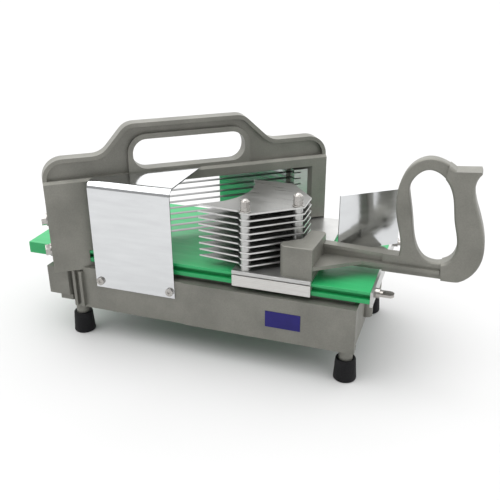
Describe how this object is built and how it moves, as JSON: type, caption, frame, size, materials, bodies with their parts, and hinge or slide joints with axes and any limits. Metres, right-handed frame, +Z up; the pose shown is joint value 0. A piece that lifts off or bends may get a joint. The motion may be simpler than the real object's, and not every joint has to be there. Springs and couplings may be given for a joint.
{
  "type": "tomato slicer",
  "caption": "Hand-pushed vegetable slicer: cast frame with a diagonal arch of horizontal blades, slide board, and a plate-stack pusher with a D handle.",
  "frame": {"origin": "on the surface it stands on, below the middle of the overall box", "axes": "+X along the rails from the output end to the handle end, +Y away from the operator's side, +Z up"},
  "size_m": [0.4383, 0.1856, 0.2183],
  "materials": {
    "cast_aluminium": "as-cast, tumbled, warm grey",
    "machined_aluminium": "machined satin",
    "brushed_aluminium": "brushed along its length",
    "plate_aluminium": "satin sheet with bright edges",
    "blade_steel": "polished, ground front edge",
    "polished_sheet": "bright polished stainless",
    "fastener_steel": "plated",
    "foot_rubber": "matte black",
    "green_board": "satin polyethylene",
    "label_blue": "plain gloss plate"
  },
  "bodies": {
    "frame": {"base_casting": "cast_aluminium", "arch_casting": "cast_aluminium", "blade_post_near": "machined_aluminium", "blade_post_far": "machined_aluminium", "blade_tension_bolts": "fastener_steel", "blade_01": "blade_steel", "blade_02": "blade_steel", "blade_03": "blade_steel", "blade_04": "blade_steel", "blade_05": "blade_steel", "blade_06": "blade_steel", "blade_07": "blade_steel", "blade_08": "blade_steel", "blade_09": "blade_steel", "front_guard": "polished_sheet", "rear_guard": "polished_sheet", "guard_screws": "fastener_steel", "rubber_foot_1": "foot_rubber", "rubber_foot_2": "foot_rubber", "rubber_foot_3": "foot_rubber", "rubber_foot_4": "foot_rubber", "label_plate": "label_blue", "slide_board": "green_board", "board_end_plate": "machined_aluminium"},
    "near_wing_screw": {"wing_screw_near": "fastener_steel"},
    "far_wing_screw": {"wing_screw_far": "fastener_steel"},
    "carriage": {"slide_plate": "machined_aluminium", "side_guide_near": "brushed_aluminium", "side_guide_far": "brushed_aluminium", "pusher_plate_01": "plate_aluminium", "pusher_plate_02": "plate_aluminium", "pusher_plate_03": "plate_aluminium", "pusher_plate_04": "plate_aluminium", "pusher_plate_05": "plate_aluminium", "pusher_plate_06": "plate_aluminium", "pusher_plate_07": "plate_aluminium", "pusher_plate_08": "plate_aluminium", "pusher_plate_09": "plate_aluminium", "plate_spacers_1": "machined_aluminium", "plate_spacers_2": "machined_aluminium", "through_bolts": "fastener_steel", "top_washers": "fastener_steel", "lock_nuts": "fastener_steel", "acorn_nuts": "fastener_steel", "handle_casting": "cast_aluminium", "handle_bolts": "fastener_steel", "hand_shield": "polished_sheet", "shield_screws": "fastener_steel"}
  },
  "joints": [
    {"name": "carriage_slide", "type": "slide", "parent": "frame", "child": "carriage", "axis": [1, 0, 0], "range_m": [-0.146, 0.045]},
    {"name": "near_wing_screw_turn", "type": "hinge", "parent": "frame", "child": "near_wing_screw", "pos_m": [0.131, -0.0585, 0.0886], "axis": [1, 0, 0], "continuous": true},
    {"name": "far_wing_screw_turn", "type": "hinge", "parent": "frame", "child": "far_wing_screw", "pos_m": [0.131, 0.0585, 0.0886], "axis": [1, 0, 0], "continuous": true}
  ]
}
